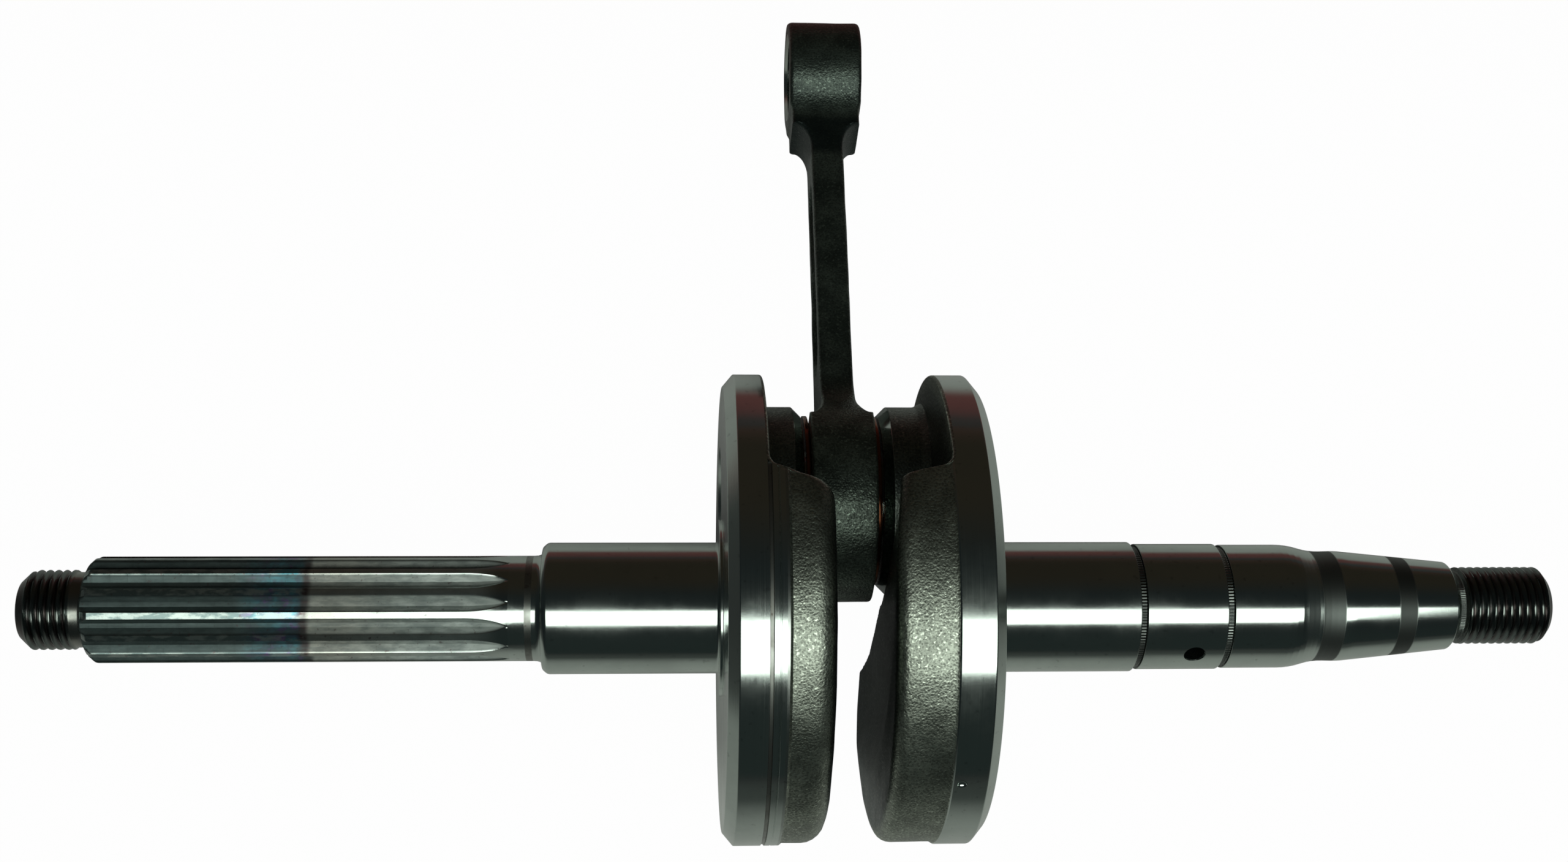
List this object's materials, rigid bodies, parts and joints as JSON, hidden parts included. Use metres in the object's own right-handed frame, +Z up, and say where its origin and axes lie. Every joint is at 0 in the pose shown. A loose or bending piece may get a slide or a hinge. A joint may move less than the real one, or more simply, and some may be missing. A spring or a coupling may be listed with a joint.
{
  "type": "built-up crankshaft with connecting rod",
  "caption": "Built-up crankshaft of a small single-cylinder engine: two pressed half cranks with counterweights, a crank pin and a connecting rod on a caged needle bearing.",
  "frame": {"origin": "on the crank axis, in the connecting rod's middle plane", "axes": "+X along the crank axis towards the tapered end, +Z up from the bench that the webs and the small eye lie on, +Y towards the side where the rod points"},
  "size_m": [0.2336, 0.1403, 0.0716],
  "materials": {
    "forged_steel": "ground and turned on the shafts and rims, as forged on the counterweights",
    "ground_steel": "ground",
    "rod_steel": "dark, as forged",
    "cage_steel": "pressed and plated",
    "copper_washer": "copper plated"
  },
  "bodies": {
    "crank": {"drive_half_crank": "forged_steel", "ignition_half_crank": "forged_steel", "crank_pin": "ground_steel"},
    "rod": {"connecting_rod": "rod_steel"},
    "cage": {"big_end_cage": "cage_steel"},
    "drive_washer": {"thrust_washer_drive": "copper_washer"},
    "ignition_washer": {"thrust_washer_ignition": "copper_washer"},
    "needle_01": {"needle_roller_01": "ground_steel"},
    "needle_02": {"needle_roller_02": "ground_steel"},
    "needle_03": {"needle_roller_03": "ground_steel"},
    "needle_04": {"needle_roller_04": "ground_steel"},
    "needle_05": {"needle_roller_05": "ground_steel"},
    "needle_06": {"needle_roller_06": "ground_steel"},
    "needle_07": {"needle_roller_07": "ground_steel"},
    "needle_08": {"needle_roller_08": "ground_steel"},
    "needle_09": {"needle_roller_09": "ground_steel"},
    "needle_10": {"needle_roller_10": "ground_steel"},
    "needle_11": {"needle_roller_11": "ground_steel"},
    "needle_12": {"needle_roller_12": "ground_steel"},
    "needle_13": {"needle_roller_13": "ground_steel"},
    "needle_14": {"needle_roller_14": "ground_steel"}
  },
  "joints": [
    {"name": "rod_turn", "type": "hinge", "parent": "crank", "child": "rod", "pos_m": [0, 0.01746, -0.0067], "axis": [1, 0, 0], "continuous": true},
    {"name": "cage_turn", "type": "hinge", "parent": "crank", "child": "cage", "pos_m": [0, 0.01746, -0.0067], "axis": [1, 0, 0], "continuous": true},
    {"name": "drive_washer_turn", "type": "hinge", "parent": "crank", "child": "drive_washer", "pos_m": [-0.0054, 0.01746, -0.0067], "axis": [1, 0, 0], "continuous": true},
    {"name": "ignition_washer_turn", "type": "hinge", "parent": "crank", "child": "ignition_washer", "pos_m": [0.0054, 0.01746, -0.0067], "axis": [1, 0, 0], "continuous": true},
    {"name": "needle_01_spin", "type": "hinge", "parent": "cage", "child": "needle_01", "pos_m": [0, 0.02661, -0.01021], "axis": [1, 0, 0], "continuous": true},
    {"name": "needle_02_spin", "type": "hinge", "parent": "cage", "child": "needle_02", "pos_m": [0, 0.02722, -0.0059], "axis": [1, 0, 0], "continuous": true},
    {"name": "needle_03_spin", "type": "hinge", "parent": "cage", "child": "needle_03", "pos_m": [0, 0.02591, -0.00174], "axis": [1, 0, 0], "continuous": true},
    {"name": "needle_04_spin", "type": "hinge", "parent": "cage", "child": "needle_04", "pos_m": [0, 0.02292, 0.00144], "axis": [1, 0, 0], "continuous": true},
    {"name": "needle_05_spin", "type": "hinge", "parent": "cage", "child": "needle_05", "pos_m": [0, 0.01885, 0.003], "axis": [1, 0, 0], "continuous": true},
    {"name": "needle_06_spin", "type": "hinge", "parent": "cage", "child": "needle_06", "pos_m": [0, 0.0145, 0.00264], "axis": [1, 0, 0], "continuous": true},
    {"name": "needle_07_spin", "type": "hinge", "parent": "cage", "child": "needle_07", "pos_m": [0, 0.01074, 0.00043], "axis": [1, 0, 0], "continuous": true},
    {"name": "needle_08_spin", "type": "hinge", "parent": "cage", "child": "needle_08", "pos_m": [0, 0.00831, -0.00319], "axis": [1, 0, 0], "continuous": true},
    {"name": "needle_09_spin", "type": "hinge", "parent": "cage", "child": "needle_09", "pos_m": [0, 0.00769, -0.00751], "axis": [1, 0, 0], "continuous": true},
    {"name": "needle_10_spin", "type": "hinge", "parent": "cage", "child": "needle_10", "pos_m": [0, 0.00901, -0.01166], "axis": [1, 0, 0], "continuous": true},
    {"name": "needle_11_spin", "type": "hinge", "parent": "cage", "child": "needle_11", "pos_m": [0, 0.012, -0.01484], "axis": [1, 0, 0], "continuous": true},
    {"name": "needle_12_spin", "type": "hinge", "parent": "cage", "child": "needle_12", "pos_m": [0, 0.01607, -0.0164], "axis": [1, 0, 0], "continuous": true},
    {"name": "needle_13_spin", "type": "hinge", "parent": "cage", "child": "needle_13", "pos_m": [0, 0.02042, -0.01604], "axis": [1, 0, 0], "continuous": true},
    {"name": "needle_14_spin", "type": "hinge", "parent": "cage", "child": "needle_14", "pos_m": [0, 0.02418, -0.01384], "axis": [1, 0, 0], "continuous": true}
  ],
  "couplings": [
    {"joint": "cage_turn", "follows": "rod_turn", "ratio": 0.57895},
    {"joint": "needle_01_spin", "follows": "rod_turn", "ratio": 3.0877},
    {"joint": "needle_02_spin", "follows": "rod_turn", "ratio": 3.0877},
    {"joint": "needle_03_spin", "follows": "rod_turn", "ratio": 3.0877},
    {"joint": "needle_04_spin", "follows": "rod_turn", "ratio": 3.0877},
    {"joint": "needle_05_spin", "follows": "rod_turn", "ratio": 3.0877},
    {"joint": "needle_06_spin", "follows": "rod_turn", "ratio": 3.0877},
    {"joint": "needle_07_spin", "follows": "rod_turn", "ratio": 3.0877},
    {"joint": "needle_08_spin", "follows": "rod_turn", "ratio": 3.0877},
    {"joint": "needle_09_spin", "follows": "rod_turn", "ratio": 3.0877},
    {"joint": "needle_10_spin", "follows": "rod_turn", "ratio": 3.0877},
    {"joint": "needle_11_spin", "follows": "rod_turn", "ratio": 3.0877},
    {"joint": "needle_12_spin", "follows": "rod_turn", "ratio": 3.0877},
    {"joint": "needle_13_spin", "follows": "rod_turn", "ratio": 3.0877},
    {"joint": "needle_14_spin", "follows": "rod_turn", "ratio": 3.0877}
  ]
}
